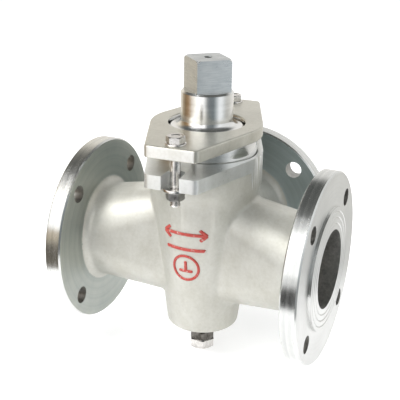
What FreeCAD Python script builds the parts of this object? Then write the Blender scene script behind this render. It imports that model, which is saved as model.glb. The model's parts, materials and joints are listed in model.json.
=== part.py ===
"""Three-way plug valve, flanged, DN 80 and PN 10, built as an assembly of its separate pieces.

A tapered plug with a T-shaped passage turns in the seat of a cast body that has two run ports and a
branch port. Packing above the plug is pressed down by a gland with two bolts, and a jack screw under
the plug eases it out of its taper.

Every piece is drawn about the point where the port axes cross the plug's axis: the run lies along X,
the branch points along +Y and the stem along +Z. The pieces are then placed so that the origin is at
the centre of the branch port's mating face. Lengths are in millimetres.
"""
import FreeCAD, Part

import math
import os
import re

import Sketcher
from FreeCAD import Placement, Rotation, Vector

DIMENSIONS = [
    # ports and their flanges
    ("half_run", 135.0, "plug axis to the mating face of each port"),
    ("flange_radius", 97.5, "outside of a port flange"),
    ("flange_depth", 20.0, "thickness of a port flange with its raised face"),
    ("raised_radius", 63.0, "raised face"),
    ("raised_height", 3.0, "raised face"),
    ("port_radius", 40.0, "round bore of a port"),
    ("port_depth", 40.0, "length of that round bore"),
    ("stud_circle", 80.0, "radius of the circle of stud holes"),
    ("stud_hole_radius", 9.0, "stud holes"),
    ("rim_chamfer", 1.5, "edges of a port flange"),
    # necks between the flanges and the shell
    ("neck_radius", 49.0, "neck where it meets its flange"),
    ("neck_inner_at", 24.0, "distance of the neck's tall section from the plug axis"),
    ("neck_half_width", 31.5, "tall section"),
    ("neck_top", 65.5, "tall section, above the port axis"),
    ("branch_neck_top", 59.0, "tall section of the branch's neck, above the port axis"),
    ("neck_bottom", 54.0, "tall section, below the port axis"),
    ("neck_corner", 27.0, "tall section's corner radius"),
    ("neck_fillet", 9.0, "fillet between a neck and its flange"),
    ("neck_crease_reach", 66.0, "reach of the creases between the necks and the shell"),
    ("window_at", 20.0, "distance of the passage's tall section from the plug axis"),
    ("window_half_width", 20.0, "passage where it meets the plug"),
    ("window_half_height", 46.0, "passage where it meets the plug"),
    ("window_corner", 10.0, "passage's corner radius"),
    # shell of the body
    ("shell_radius", 47.0, "outside of the tapered shell at the port axis"),
    ("shell_slope", 0.12, "growth of that radius per unit of height"),
    ("shell_bottom", -84.5, "underside"),
    ("shell_round", 6.0, "rounding of the lower edge"),
    ("collar_radius", 57.0, "collar round the packing box"),
    ("collar_bottom", 74.0, "lower edge of the collar"),
    ("body_top", 106.0, "upper face of the body"),
    ("boss_radius", 14.0, "boss of the jack screw"),
    ("boss_bottom", -93.5, "lower face of the boss"),
    ("cast_round", 5.0, "casting fillets"),
    # lozenge shared by the body's top flange and the gland
    ("lozenge_turn", 3.5, "angle in degrees that the lozenge is turned from the branch's axis"),
    ("lozenge_reach", 98.0, "plug axis to each end of the lozenge"),
    ("lozenge_end_half", 25.5, "half the width of an end"),
    ("lozenge_corner", 6.0, "rounding of the corners"),
    ("body_flange_depth", 13.5, "thickness of the body's top flange"),
    ("slot_half_width", 9.0, "open bolt slots in the body's top flange"),
    ("gland_bolt_at", 84.0, "plug axis to each gland bolt"),
    # seat, plug and stem
    ("seat_radius", 38.0, "seat at the port axis"),
    ("seat_slope", 0.08333, "growth of the seat's radius per unit of height, a taper of 1 in 6"),
    ("seat_top", 70.0, "floor of the packing box"),
    ("seat_bottom", -64.0, "end of the taper"),
    ("pit_radius", 31.0, "pit under the plug"),
    ("pit_floor", -72.0, "floor of that pit"),
    ("running_gap", 0.06, "radial clearance of the pieces that turn"),
    ("plug_top", 67.5, "upper end of the plug's taper"),
    ("plug_bottom", -62.0, "lower end of the plug"),
    ("plug_neck_radius", 37.0, "neck of the plug inside the packing"),
    ("plug_neck_top", 131.0, "shoulder between the neck and the stem"),
    ("stem_radius", 26.0, "stem"),
    ("stem_round", 7.0, "hollow round between the shoulder and the stem"),
    ("stem_top", 166.5, "shoulder under the square"),
    ("square_half", 18.0, "half the width across the flats of the square"),
    ("square_top", 198.0, "top of the square"),
    ("plug_port_half_width", 20.0, "T-shaped passage"),
    ("plug_port_half_height", 45.0, "T-shaped passage"),
    # packing and gland
    ("box_radius", 51.5, "packing box"),
    ("base_ring_height", 3.0, "metal ring under the packing"),
    ("packing_height", 6.5, "one packing ring"),
    ("packing_gap", 0.3, "radial gap between the packing and the plug's neck"),
    ("gland_spigot_radius", 50.7, "spigot of the gland"),
    ("gland_bore_radius", 38.2, "hole of the gland round the plug's neck"),
    ("gland_disc_radius", 56.0, "round middle of the gland's plate"),
    ("gland_bottom", 121.7, "underside of the gland's plate"),
    ("gland_depth", 12.3, "thickness of the gland's plate"),
    ("gland_chamfer", 1.0, "edges of the gland's plate"),
    ("gland_hole_radius", 5.5, "bolt holes of the gland"),
    # the gland's fasteners, M10
    ("bolt_radius", 5.0, "M10 shank"),
    ("bolt_bore", 5.05, "M10 nut's bore"),
    ("bolt_hexagon_half", 8.0, "half the width across the flats"),
    ("head_height", 6.4, "bolt head"),
    ("nut_height", 9.0, "nut"),
    ("washer_radius", 10.0, "flat washer"),
    ("washer_bore", 5.25, "both washers"),
    ("washer_height", 1.6, "flat washer"),
    ("slot_washer_radius", 12.0, "wide washer that bridges a bolt slot"),
    ("slot_washer_height", 3.0, "wide washer"),
    ("thread_end", 7.0, "bolt standing out below its nut"),
    # the jack screw under the plug, M16
    ("jack_radius", 8.0, "M16 shank"),
    ("jack_bore", 8.05, "M16 bore that the shank turns in"),
    ("jack_hexagon_half", 12.0, "half the width across the flats"),
    ("jack_tip", -64.0, "tip of the jack screw, one turn short of the plug"),
    ("jack_nut_top", -96.0, "upper face of the jack screw's lock nut"),
    ("jack_nut_height", 9.4, "lock nut"),
    ("jack_head_gap", 0.6, "gap between the lock nut and the screw's head"),
    ("jack_head_height", 10.0, "head of the jack screw"),
    ("seal_radius", 12.5, "sealing washer of the jack screw"),
    ("seal_bore", 8.5, "sealing washer of the jack screw"),
]

doc = FreeCAD.newDocument("plug_valve")
sheet = doc.addObject("Spreadsheet::Sheet", "Dimensions")
for row, (alias, number, note) in enumerate(DIMENSIONS, start=1):
    sheet.set(f"A{row}", note)
    sheet.set(f"B{row}", str(number))
    sheet.setAlias(f"B{row}", alias)
doc.recompute()

ALIASES = {alias for alias, number, note in DIMENSIONS}
PARTS = []


def formula(text):
    """The text with each alias pointing at its cell, as setExpression wants it."""
    return re.sub(r"[a-z_]+", lambda word: f"Dimensions.{word[0]}" if word[0] in ALIASES else word[0], text)


def value(text):
    """The number that a formula over the sheet gives now."""
    return float(sheet.evalExpression(text))


def bind(thing, **sizes):
    """Binds properties of an object to formulas; two underscores stand for a dot."""
    for name, text in sizes.items():
        thing.setExpression(name.replace("__", "."), formula(text))


def new_body(label, at="0", turn=None):
    """A PartDesign body that becomes one sub-part.

    Its own axes cross on the plug axis and are turned about it by an angle. With a distance at, they
    cross that far from the plug axis, along their own Y. The placement also puts the origin of the
    whole at the centre of the branch port's mating face.
    """
    body = doc.addObject("PartDesign::Body", label)
    body.Label = label
    if turn:
        body.Placement = Placement(Vector(), Rotation(Vector(0, 0, 1), value(turn)))
        bind(body, Placement__Rotation__Angle=turn, Placement__Base__x=f"-1 * ({at}) * sin({turn})",
             Placement__Base__y=f"({at}) * cos({turn}) - half_run")
    else:
        bind(body, Placement__Base__y=f"{at} - half_run")
    PARTS.append(body)
    return body


def new_sketch(body, plane, offset=None, turn=None):
    """A sketch on an origin plane of its body, shifted along the plane's normal and turned about it."""
    sketch = body.newObject("Sketcher::SketchObject", f"{body.Name}_sketch")
    support = next(item for item in body.Origin.OriginFeatures if item.Role == plane)
    sketch.AttachmentSupport = [(support, "")]
    sketch.MapMode = "FlatFace"
    if turn:
        sketch.AttachmentOffset = Placement(Vector(), Rotation(Vector(0, 0, 1), value(turn)))
        bind(sketch, AttachmentOffset__Rotation__Angle=turn)
    if offset:
        bind(sketch, AttachmentOffset__Base__z=offset)
    return sketch


def pin(sketch, geometry, point, x, y):
    """Holds a point of a sketch at a pair of formulas."""
    for kind, axis, text in (("DistanceX", -2, x), ("DistanceY", -1, y)):
        if abs(value(text)) < 1e-9:
            sketch.addConstraint(Sketcher.Constraint("PointOnObject", geometry, point, axis))
        else:
            index = sketch.addConstraint(Sketcher.Constraint(kind, geometry, point, value(text)))
            sketch.setExpression(f"Constraints[{index}]", formula(text))


def draw_outline(sketch, corners):
    """A closed outline of straight lines through corners, each a pair of formulas."""
    first = sketch.GeometryCount
    places = [Vector(value(x), value(y), 0) for x, y in corners]
    count = len(places)
    for i in range(count):
        sketch.addGeometry(Part.LineSegment(places[i], places[(i + 1) % count]), False)
    for i in range(count):
        after = first + (i + 1) % count
        sketch.addConstraint(Sketcher.Constraint("Coincident", first + i, 2, after, 1))
    for i, (x, y) in enumerate(corners):
        pin(sketch, first + i, 1, x, y)


def draw_circle(sketch, x, y, radius):
    """A circle whose centre and radius are formulas."""
    centre = Vector(value(x), value(y), 0)
    index = sketch.addGeometry(Part.Circle(centre, Vector(0, 0, 1), value(radius)), False)
    pin(sketch, index, 3, x, y)
    size = sketch.addConstraint(Sketcher.Constraint("Radius", index, value(radius)))
    sketch.setExpression(f"Constraints[{size}]", formula(radius))


def draw_round_box(sketch, left, right, bottom, top, corner):
    """A rectangle with round corners between four formulas."""
    x0, x1, y0, y1, r = (value(text) for text in (left, right, bottom, top, corner))
    first = sketch.GeometryCount
    normal = Vector(0, 0, 1)
    centres = [(x1 - r, y0 + r), (x1 - r, y1 - r), (x0 + r, y1 - r), (x0 + r, y0 + r)]
    ends = [((x0 + r, y0), (x1 - r, y0)), ((x1, y0 + r), (x1, y1 - r)),
            ((x1 - r, y1), (x0 + r, y1)), ((x0, y1 - r), (x0, y0 + r))]
    for i, (x, y) in enumerate(centres):
        start, end = ends[i]
        sketch.addGeometry(Part.LineSegment(Vector(*start, 0), Vector(*end, 0)), False)
        circle = Part.Circle(Vector(x, y, 0), normal, r)
        turn = math.pi / 2
        sketch.addGeometry(Part.ArcOfCircle(circle, (i - 1) * turn, i * turn), False)
    for i in range(4):
        line = first + 2 * i
        after = first + (2 * i + 2) % 8
        sketch.addConstraint(Sketcher.Constraint("Tangent", line, 2, line + 1, 1))
        sketch.addConstraint(Sketcher.Constraint("Tangent", line + 1, 2, after, 1))
        sketch.addConstraint(Sketcher.Constraint("Vertical" if i % 2 else "Horizontal", line))
        if i:
            sketch.addConstraint(Sketcher.Constraint("Equal", first + 1, line + 1))
    size = sketch.addConstraint(Sketcher.Constraint("Radius", first + 1, r))
    sketch.setExpression(f"Constraints[{size}]", formula(corner))
    pin(sketch, first + 3, 3, f"{right} - ({corner})", f"{top} - ({corner})")
    pin(sketch, first + 7, 3, f"{left} + ({corner})", f"{bottom} + ({corner})")


def settle(feature):
    """Recomputes the document and stops when the feature has failed."""
    doc.recompute()
    if "Invalid" in feature.State or "Error" in feature.State or feature.Shape.isNull():
        raise RuntimeError(f"{feature.Name} failed: {feature.getStatusString()}")
    return feature


def revolve(body, corners, axis="V_Axis", plane="XZ_Plane", cut=False):
    """Revolves an outline about an axis of its sketch, adding to the body or cutting it."""
    sketch = new_sketch(body, plane)
    draw_outline(sketch, corners)
    kind = "Groove" if cut else "Revolution"
    turned = body.newObject(f"PartDesign::{kind}", f"{body.Name}_{kind}")
    turned.Profile = sketch
    turned.ReferenceAxis = (sketch, [axis])
    turned.Angle = 360.0
    return settle(turned)


def extrude(body, sketch, length, cut=False, reverse=False):
    """Pads a sketch along its plane's normal, or pockets it against that normal."""
    kind = "Pocket" if cut else "Pad"
    solid = body.newObject(f"PartDesign::{kind}", f"{body.Name}_{kind}")
    solid.Profile = sketch
    solid.Reversed = reverse
    bind(solid, Length=length)
    return settle(solid)


def loft(body, sections, cut=False):
    """Lofts through sketches, adding to the body or cutting it."""
    kind = "SubtractiveLoft" if cut else "AdditiveLoft"
    solid = body.newObject(f"PartDesign::{kind}", f"{body.Name}_{kind}")
    solid.Profile = sections[0]
    solid.Sections = sections[1:]
    solid.Ruled = True
    return settle(solid)


def edges_where(shape, test):
    """Names of the edges of a shape that pass a test."""
    return [f"Edge{i}" for i, edge in enumerate(shape.Edges, start=1) if test(edge)]


def dress(body, kind, size, test):
    """Fillets or chamfers the edges of the body's tip that pass a test."""
    base = body.Tip
    names = edges_where(base.Shape, test)
    if not names:
        raise RuntimeError(f"{body.Label}: no edge for a {kind} of {size}")
    dressed = body.newObject(f"PartDesign::{kind}", f"{body.Name}_{kind}")
    dressed.Base = (base, names)
    bind(dressed, **{"Radius" if kind == "Fillet" else "Size": size})
    return settle(dressed)


def middle(edge):
    """The point half way along an edge."""
    return edge.valueAt((edge.FirstParameter + edge.LastParameter) / 2)


# ---------------------------------------------------------------- body

PORTS = {"left": ("YZ_Plane", -1), "right": ("YZ_Plane", 1), "branch": ("XZ_Plane", -1)}


def across(name, at):
    """Offset along its plane's normal that puts a port's sketch at a distance from the plug axis."""
    return f"{PORTS[name][1]} * ({at})"


def port_sketch(body, name, at):
    """A sketch square to a port's axis, at a distance from the plug axis."""
    return new_sketch(body, PORTS[name][0], across(name, at))


def add_flange(body, name):
    """A port flange, turned about the port's axis, with sealing grooves in its raised face."""
    back = "half_run - flange_depth"
    step = "half_run - raised_height"
    corners = [(back, "0"), (back, "flange_radius - rim_chamfer"), (f"{back} + rim_chamfer", "flange_radius"),
               (f"{step} - rim_chamfer", "flange_radius"), (step, "flange_radius - rim_chamfer"),
               (step, "raised_radius"), ("half_run", "raised_radius - 0.5")]
    for i in range(3):
        radius = f"port_radius + {6.0 + 6.0 * (2 - i)}"
        corners += [("half_run", f"{radius} + 0.8"), ("half_run - 0.8", radius), ("half_run", f"{radius} - 0.8")]
    corners.append(("half_run", "0"))
    if name == "branch":
        return revolve(body, [(radial, along) for along, radial in corners], "V_Axis", "XY_Plane")
    sign = "-1 * " if name == "left" else ""
    return revolve(body, [(f"{sign}({along})", radial) for along, radial in corners], "H_Axis", "XY_Plane")


def add_neck(body, name):
    """The casting between a flange and the shell: round at the flange, tall and narrow at the shell."""
    outer = port_sketch(body, name, "half_run - flange_depth")
    draw_round_box(outer, "-neck_radius", "neck_radius", "-neck_radius", "neck_radius", "neck_radius - 0.5")
    inner = port_sketch(body, name, "neck_inner_at")
    top = "branch_neck_top" if name == "branch" else "neck_top"
    draw_round_box(inner, "-neck_half_width", "neck_half_width", "-neck_bottom", top, "neck_corner")
    loft(body, [outer, inner])


def cut_port(body, name):
    """The passage from a mating face to the plug: round, then tall and narrow like the plug's."""
    bore = port_sketch(body, name, "half_run")
    draw_circle(bore, "0", "0", "port_radius")
    extrude(body, bore, "port_depth", cut=True, reverse=PORTS[name][1] < 0)
    outer = port_sketch(body, name, "half_run - port_depth")
    draw_round_box(outer, "-port_radius", "port_radius", "-port_radius", "port_radius", "port_radius - 0.25")
    inner = port_sketch(body, name, "window_at")
    draw_round_box(inner, "-window_half_width", "window_half_width",
                   "-window_half_height", "window_half_height", "window_corner")
    loft(body, [outer, inner], cut=True)
    holes = port_sketch(body, name, "half_run")
    for x in (-1, 1):
        for y in (-1, 1):
            draw_circle(holes, f"{x} * stud_circle * sqrt(0.5)", f"{y} * stud_circle * sqrt(0.5)",
                        "stud_hole_radius")
    extrude(body, holes, "flange_depth + 1", cut=True, reverse=PORTS[name][1] < 0)


def draw_lozenge(sketch, disc):
    """The lozenge's straight outline, whose long sides touch a disc about the plug axis."""
    turn = f"(atan2(lozenge_reach; lozenge_end_half) - acos({disc} / hypot(lozenge_reach; lozenge_end_half)))"
    x, y = f"{disc} * cos{turn}", f"{disc} * sin{turn}"
    quarter = [(x, y), ("lozenge_end_half", "lozenge_reach")]
    corners = []
    for sign_x, sign_y in ((1, 1), (-1, 1), (-1, -1), (1, -1)):
        points = [(f"{sign_x} * {u}", f"{sign_y} * {v}") for u, v in quarter]
        corners += points if sign_x * sign_y > 0 else points[::-1]
    draw_outline(sketch, corners)


def add_lozenge(body, bottom, depth, disc, turn=None):
    """A lozenge plate with rounded corners."""
    sketch = new_sketch(body, "XY_Plane", bottom, turn)
    draw_lozenge(sketch, disc)
    extrude(body, sketch, depth)
    disc_sketch = new_sketch(body, "XY_Plane", bottom)
    draw_circle(disc_sketch, "0", "0", disc)
    extrude(body, disc_sketch, depth)
    end, low, high = value("lozenge_reach"), value(bottom), value(f"{bottom} + {depth}")
    angle = math.radians(value(turn or "0"))
    along = Vector(-math.sin(angle), math.cos(angle), 0)
    dress(body, "Fillet", "lozenge_corner",
          lambda edge: abs(abs(middle(edge).dot(along)) - end) < 0.01
          and abs(edge.Length - (high - low)) < 0.01 and low < middle(edge).z < high)


def make_body():
    """The cast body with its three flanged ports, seat, packing box and top flange."""
    body = new_body("valve_body")
    radius_at = "(shell_radius + shell_slope * ({}))"
    edge = "collar_bottom - 4"
    revolve(body, [("0", "shell_bottom"), (radius_at.format("shell_bottom"), "shell_bottom"),
                   (radius_at.format(edge), edge),
                   ("collar_radius", "collar_bottom"), ("collar_radius", "body_top"), ("0", "body_top")])
    for name in PORTS:
        add_neck(body, name)
    back = value("half_run - flange_depth")
    bottom = value("shell_bottom")
    dress(body, "Fillet", "cast_round", lambda edge: is_crease(edge, bottom))
    for name in PORTS:
        add_flange(body, name)
    dress(body, "Fillet", "neck_fillet", lambda edge: is_root(edge, back))
    dress(body, "Fillet", "shell_round",
          lambda edge: abs(middle(edge).z - bottom) < 0.01 and edge.Curve.TypeId == "Part::GeomCircle")
    add_lozenge(body, "body_top - body_flange_depth", "body_flange_depth", "collar_radius", "lozenge_turn")
    revolve(body, [("0", "shell_bottom + 3"), ("boss_radius", "shell_bottom + 3"),
                   ("boss_radius", "boss_bottom + 1"), ("boss_radius - 1", "boss_bottom"), ("0", "boss_bottom")])
    for name in PORTS:
        cut_port(body, name)
    seat_at = "(seat_radius + seat_slope * ({}))"
    revolve(body, [("0", "pit_floor"), ("pit_radius", "pit_floor"), ("pit_radius", "seat_bottom"),
                   (seat_at.format("seat_bottom"), "seat_bottom"), (seat_at.format("seat_top"), "seat_top"),
                   ("box_radius", "seat_top"), ("box_radius", "body_top - 1"),
                   ("box_radius + 1", "body_top"), ("0", "body_top")], cut=True)
    screw_hole = new_sketch(body, "XY_Plane", "boss_bottom")
    draw_circle(screw_hole, "0", "0", "jack_bore")
    extrude(body, screw_hole, "pit_floor - boss_bottom + 1", cut=True, reverse=True)
    slots = new_sketch(body, "XY_Plane", "body_top", "lozenge_turn")
    for sign in (-1, 1):
        far, near = f"{sign} * (lozenge_reach + 15)", f"{sign} * (gland_bolt_at - slot_half_width)"
        low, high = (far, near) if sign < 0 else (near, far)
        draw_round_box(slots, "-slot_half_width", "slot_half_width", low, high, "slot_half_width - 0.1")
    extrude(body, slots, "body_flange_depth", cut=True)
    return body


def is_crease(edge, bottom):
    """Whether an edge is where a run neck meets the front of the shell."""
    ends = [edge.valueAt(edge.FirstParameter), middle(edge), edge.valueAt(edge.LastParameter)]
    near = max(math.hypot(end.x, end.y) for end in ends) < value("neck_crease_reach")
    heights = [end.z for end in ends]
    between = min(heights) > bottom + 1 and max(heights) < value("collar_bottom - 4.5")
    return near and between and ends[1].y < -0.01 and not is_ring(edge)


def is_ring(edge):
    """Whether an edge is a circle about the plug axis."""
    if edge.Curve.TypeId != "Part::GeomCircle":
        return False
    centre = edge.Curve.Center
    return math.hypot(centre.x, centre.y) < 0.01 and abs(edge.Curve.Axis.z) > 0.999


def is_root(edge, back):
    """Whether an edge is where a neck meets the back of its flange."""
    ends = [edge.valueAt(edge.FirstParameter), middle(edge), edge.valueAt(edge.LastParameter)]
    for axis in ("x", "y"):
        across_axis = "y" if axis == "x" else "x"
        on_back = all(abs(abs(getattr(end, axis)) - back) < 0.01 for end in ends)
        near = all(math.hypot(getattr(end, across_axis), end.z) < value("neck_radius + 3") for end in ends)
        if on_back and near:
            return True
    return False


# ---------------------------------------------------------------- plug and gland

def cut_plug_port(body, plane, offset, length):
    """One straight arm of the plug's T-shaped passage."""
    sketch = new_sketch(body, plane, offset)
    draw_round_box(sketch, "-plug_port_half_width", "plug_port_half_width",
                   "-plug_port_half_height", "plug_port_half_height", "window_corner")
    extrude(body, sketch, length, cut=True, reverse=plane == "YZ_Plane")


def make_plug():
    """The tapered plug, in one piece with its neck, its stem and the square on top."""
    body = new_body("tapered_plug")
    taper = "(seat_radius - running_gap + seat_slope * ({}))"
    top, neck, end = "plug_top", "plug_neck_top", "stem_top"
    revolve(body, [("0", "plug_bottom"), (taper.format("plug_bottom") + " - 1", "plug_bottom"),
                   (taper.format("plug_bottom + 1"), "plug_bottom + 1"),
                   (taper.format(f"{top} - 1"), f"{top} - 1"), (taper.format(top) + " - 1", top),
                   ("plug_neck_radius", top), ("plug_neck_radius", f"{neck} - 1.5"),
                   ("plug_neck_radius - 1.5", neck), ("stem_radius", neck),
                   ("stem_radius", f"{end} - 2"), ("stem_radius - 2", end), ("0", end)])
    shoulder = value(neck)
    dress(body, "Fillet", "stem_round",
          lambda edge: is_ring(edge) and abs(edge.Curve.Radius - value("stem_radius")) < 0.01
          and abs(edge.Curve.Center.z - shoulder) < 0.01)
    corner = "square_half * sqrt(2)"
    square = new_sketch(body, "XY_Plane", f"{end} - 1")
    draw_outline(square, [(corner, "0"), ("0", corner), (f"-1 * {corner}", "0"), ("0", f"-1 * {corner}")])
    extrude(body, square, f"square_top - {end} + 1")
    revolve(body, [(f"{corner} - 2.5", "square_top"), (f"{corner} + 1", "square_top - 3.5"),
                   (f"{corner} + 1", "square_top")], cut=True)
    revolve(body, [("0", "square_top - 7"), ("1.5", "square_top - 6"), ("1.5", "square_top - 3"),
                   ("4.5", "square_top"), ("0", "square_top")], cut=True)
    cut_plug_port(body, "YZ_Plane", "-60", "120")
    cut_plug_port(body, "XZ_Plane", "0", "60")


def make_gland():
    """The gland: a lozenge plate whose spigot presses on the packing."""
    body = new_body("gland_flange", turn="lozenge_turn")
    top, spigot = "gland_bottom + gland_depth", "seat_top + base_ring_height + 4 * packing_height"
    add_lozenge(body, "gland_bottom", "gland_depth", "gland_disc_radius")
    low, high = value("gland_bottom"), value(top)
    dress(body, "Chamfer", "gland_chamfer",
          lambda edge: min(abs(edge.BoundBox.ZMin - level) + abs(edge.BoundBox.ZMax - level)
                           for level in (low, high)) < 0.01)
    revolve(body, [("0", spigot), ("gland_spigot_radius - 1", spigot),
                   ("gland_spigot_radius", f"{spigot} + 1"), ("gland_spigot_radius", "gland_bottom + 1"),
                   ("0", "gland_bottom + 1")])
    revolve(body, [("0", f"{spigot} - 1"), ("gland_bore_radius", f"{spigot} - 1"),
                   ("gland_bore_radius", f"{top} - 1"), ("gland_bore_radius + 2", f"{top} + 1"),
                   ("0", f"{top} + 1")], cut=True)
    holes = new_sketch(body, "XY_Plane", top)
    for sign in ("", "-"):
        draw_circle(holes, "0", f"{sign}gland_bolt_at", "gland_hole_radius")
    extrude(body, holes, "gland_depth", cut=True)


def make_ring(label, bottom, height, inner, outer, edge, at="0", turn=None):
    """A ring with its four edges chamfered; its axis stands at a distance along its body's Y."""
    body = new_body(label, at, turn)
    top = f"{bottom} + {height}"
    revolve(body, [(inner, f"{bottom} + {edge}"), (f"{inner} + {edge}", bottom),
                   (f"{outer} - {edge}", bottom), (outer, f"{bottom} + {edge}"),
                   (outer, f"{top} - {edge}"), (f"{outer} - {edge}", top),
                   (f"{inner} + {edge}", top), (inner, f"{top} - {edge}")])


def make_packing():
    """The metal ring at the bottom of the box and the four packing rings on it."""
    make_ring("packing_seat_ring", "seat_top", "base_ring_height",
              "plug_neck_radius + packing_gap", "box_radius - 0.1", "0.3")
    for i in range(4):
        make_ring(f"packing_ring_{i + 1}", f"seat_top + base_ring_height + {i} * packing_height",
                  "packing_height", "plug_neck_radius + packing_gap", "box_radius - 0.1", "0.4")


# ---------------------------------------------------------------- fasteners

def add_hexagon(body, half, bottom, height, turn, ends):
    """A hexagonal prism whose ends named are chamfered; a corner lies at the angle turn."""
    sketch = new_sketch(body, "XY_Plane", bottom)
    reach = f"{half} / cos(30)"
    draw_outline(sketch, [(f"{reach} * cos({60 * i + turn})", f"{reach} * sin({60 * i + turn})")
                          for i in range(6)])
    extrude(body, sketch, height)
    for end in ends:
        level, drop = (f"{bottom} + {height}", "-1.6") if end == "top" else (bottom, "1.6")
        revolve(body, [(f"{half} - 0.3", level), (f"{half} + 2.47", f"{level} + {drop}"),
                       (f"{half} + 2.47", level)], cut=True)


def make_bolt(label, at, turn):
    """A gland bolt: its head on the gland and its shank down through the slot of the body."""
    body = new_body(label, at, "lozenge_turn")
    under = "gland_bottom + gland_depth + washer_height"
    end = "body_top - body_flange_depth - slot_washer_height - nut_height - thread_end"
    add_hexagon(body, "bolt_hexagon_half", under, "head_height", turn, ["top"])
    revolve(body, [("0", end), ("bolt_radius - 1", end), ("bolt_radius", f"{end} + 1"),
                   ("bolt_radius", f"{under} + 1"), ("0", f"{under} + 1")])


def make_nut(body, kind, bottom, height, turn):
    """A hexagon nut with both ends chamfered, of the size kind."""
    add_hexagon(body, f"{kind}_hexagon_half", bottom, height, turn, ["top", "bottom"])
    top, bore = f"{bottom} + {height}", f"{kind}_bore"
    revolve(body, [("0", f"{bottom} - 1"), (f"{bore} + 1.5", f"{bottom} - 1"),
                   (bore, f"{bottom} + 0.5"), (bore, f"{top} - 0.5"),
                   (f"{bore} + 1.5", f"{top} + 1"), ("0", f"{top} + 1")], cut=True)


def make_gland_fasteners():
    """The bolt, washers and nut at each end of the gland."""
    slot_washer = "body_top - body_flange_depth - slot_washer_height"
    for place, at, turn in (("front", "-gland_bolt_at", 12), ("rear", "gland_bolt_at", -8)):
        make_bolt(f"gland_bolt_{place}", at, turn)
        make_ring(f"gland_washer_{place}", "gland_bottom + gland_depth", "washer_height",
                  "washer_bore", "washer_radius", "0.3", at, "lozenge_turn")
        make_ring(f"slot_washer_{place}", slot_washer, "slot_washer_height",
                  "washer_bore", "slot_washer_radius", "0.3", at, "lozenge_turn")
        make_nut(new_body(f"gland_nut_{place}", at, "lozenge_turn"), "bolt",
                 f"{slot_washer} - nut_height", "nut_height", turn - 3)


def make_jack():
    """The jack screw under the plug, its sealing washer and its lock nut."""
    make_ring("jack_seal_washer", "jack_nut_top", "boss_bottom - jack_nut_top",
              "seal_bore", "seal_radius", "0.3")
    make_nut(new_body("jack_lock_nut"), "jack", "jack_nut_top - jack_nut_height", "jack_nut_height", -67)
    body = new_body("jack_screw")
    head = "jack_nut_top - jack_nut_height - jack_head_gap"
    add_hexagon(body, "jack_hexagon_half", f"{head} - jack_head_height", "jack_head_height", -64, ["bottom"])
    revolve(body, [("0", f"{head} - 1"), ("jack_radius", f"{head} - 1"),
                   ("jack_radius", "jack_tip - 1"), ("jack_radius - 1", "jack_tip"), ("0", "jack_tip")])


# ---------------------------------------------------------------- the whole valve

def check():
    """Stops when an object has failed or a sub-part has no valid solid."""
    doc.recompute()
    for item in doc.Objects:
        if "Invalid" in item.State or "Error" in item.State:
            raise RuntimeError(f"{item.Name} is {item.State}")
    for piece in PARTS:
        if piece.Shape.isNull() or not piece.Shape.isValid() or len(piece.Shape.Solids) != 1:
            raise RuntimeError(f"{piece.Label} is not one valid solid")


def write():
    """Writes one STEP file for each sub-part and prints its size."""
    os.makedirs("parts", exist_ok=True)
    for piece in PARTS:
        piece.Shape.exportStep(f"parts/{piece.Label}.step")
        box = piece.Shape.BoundBox
        print(f"{piece.Label}: {piece.Shape.Volume / 1000:.1f} cm3, x {box.XMin:.1f} to {box.XMax:.1f}, "
              f"y {box.YMin:.1f} to {box.YMax:.1f}, z {box.ZMin:.1f} to {box.ZMax:.1f}")


make_body()
make_plug()
make_packing()
make_gland()
make_gland_fasteners()
make_jack()
check()
write()
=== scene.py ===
import json
import math

import bmesh
import bpy
from mathutils import Matrix, Vector


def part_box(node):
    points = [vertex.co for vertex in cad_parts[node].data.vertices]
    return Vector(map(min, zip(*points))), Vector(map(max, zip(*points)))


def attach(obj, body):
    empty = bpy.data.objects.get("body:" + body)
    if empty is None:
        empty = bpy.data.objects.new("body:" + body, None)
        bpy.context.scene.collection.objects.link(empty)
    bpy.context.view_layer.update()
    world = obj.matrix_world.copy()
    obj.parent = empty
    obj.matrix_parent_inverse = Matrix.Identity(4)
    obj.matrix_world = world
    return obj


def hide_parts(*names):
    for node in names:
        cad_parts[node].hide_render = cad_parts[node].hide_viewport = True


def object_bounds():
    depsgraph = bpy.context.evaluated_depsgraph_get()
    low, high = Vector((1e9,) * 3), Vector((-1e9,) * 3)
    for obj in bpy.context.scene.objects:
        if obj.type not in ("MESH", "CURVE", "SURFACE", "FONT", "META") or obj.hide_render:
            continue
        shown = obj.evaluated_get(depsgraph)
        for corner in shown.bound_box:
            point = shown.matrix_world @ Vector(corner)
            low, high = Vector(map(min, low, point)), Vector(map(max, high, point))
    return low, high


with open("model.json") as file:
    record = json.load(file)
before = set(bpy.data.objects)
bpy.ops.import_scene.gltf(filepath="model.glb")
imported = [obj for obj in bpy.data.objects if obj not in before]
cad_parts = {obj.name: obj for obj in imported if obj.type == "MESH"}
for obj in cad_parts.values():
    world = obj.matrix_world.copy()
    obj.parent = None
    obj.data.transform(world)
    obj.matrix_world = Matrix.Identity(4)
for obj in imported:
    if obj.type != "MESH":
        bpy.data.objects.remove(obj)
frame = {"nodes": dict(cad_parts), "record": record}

CAD_BOX = [list(corner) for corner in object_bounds()]
RECORD = frame["record"]
MOUNTS = {mount["name"]: mount for mount in RECORD["mounts"]}
AXIS = Vector((0.0, MOUNTS["stem"]["pos_m"][1], 0.0))
FLOOR_Z = CAD_BOX[0][2]
MM = 0.001

# ------------------------------------------------------------------ camera

CAMERA_AZIMUTH = math.radians(23.20)
CAMERA_SIDE = CAMERA_AZIMUTH - math.pi / 2
CAMERA_ELEVATION = math.radians(20.60)
CAMERA_ROLL = math.radians(1.09)
CAMERA_DISTANCE = 0.9425
CAMERA_AIM = AXIS + Vector((-0.005654, 0.0, 0.0495))
LENS = 82.79


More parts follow.
